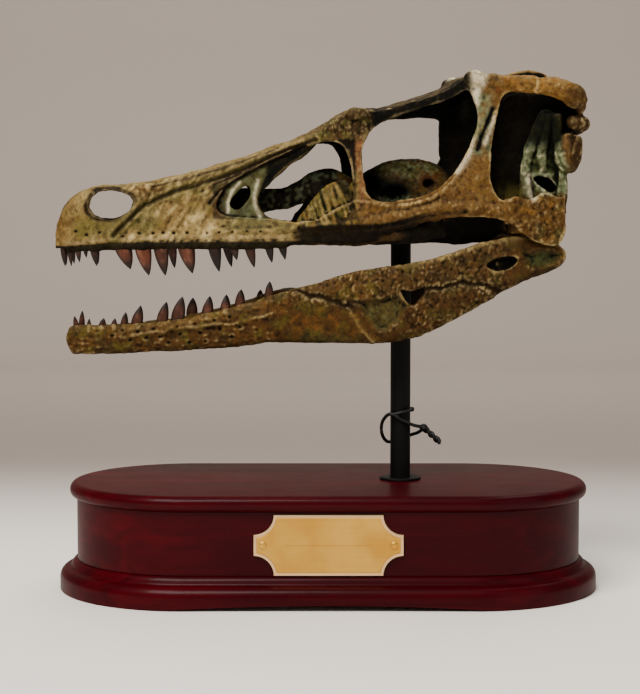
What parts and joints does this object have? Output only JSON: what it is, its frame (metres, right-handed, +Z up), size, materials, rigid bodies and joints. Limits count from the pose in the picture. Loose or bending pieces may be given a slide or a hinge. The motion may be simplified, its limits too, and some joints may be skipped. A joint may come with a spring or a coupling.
{
  "type": "velociraptor skull cast on a wooden stand",
  "caption": "Life-size cast of a raptor dinosaur's skull, jaws parted and teeth bared, held on a black metal post above an oval polished wooden base with a blank brass plate.",
  "frame": {"origin": "middle of the flat underside of the wooden base", "axes": "+Z up, +X towards the back of the skull (the snout points to -X), -Y is the side that carries the brass plate"},
  "size_m": [0.253, 0.124, 0.2422],
  "materials": {
    "bone_cast": "painted resin cast, brown and ochre with a dark wash",
    "mahogany": "glossy dark red varnish",
    "black_paint": "satin black",
    "brass": "satin, bevelled rim",
    "tie_plastic": "black plastic over wire"
  },
  "bodies": {
    "root": {"premaxilla": "bone_cast", "maxilla_left": "bone_cast", "maxilla_right": "bone_cast", "nasals": "bone_cast", "lacrimal_left": "bone_cast", "lacrimal_right": "bone_cast", "skull_roof": "bone_cast", "postorbital_left": "bone_cast", "postorbital_right": "bone_cast", "squamosal_left": "bone_cast", "squamosal_right": "bone_cast", "jugal_left": "bone_cast", "jugal_right": "bone_cast", "quadrate_left": "bone_cast", "quadrate_right": "bone_cast", "palate": "bone_cast", "braincase": "bone_cast", "dentary_left": "bone_cast", "dentary_right": "bone_cast", "rear_jaw_left": "bone_cast", "rear_jaw_right": "bone_cast", "stand_plinth": "mahogany", "stand_body": "mahogany", "stand_top": "mahogany", "stand_post": "black_paint", "stand_flange": "black_paint", "stand_plaque": "brass", "stand_tie": "tie_plastic"}
  },
  "joints": []
}
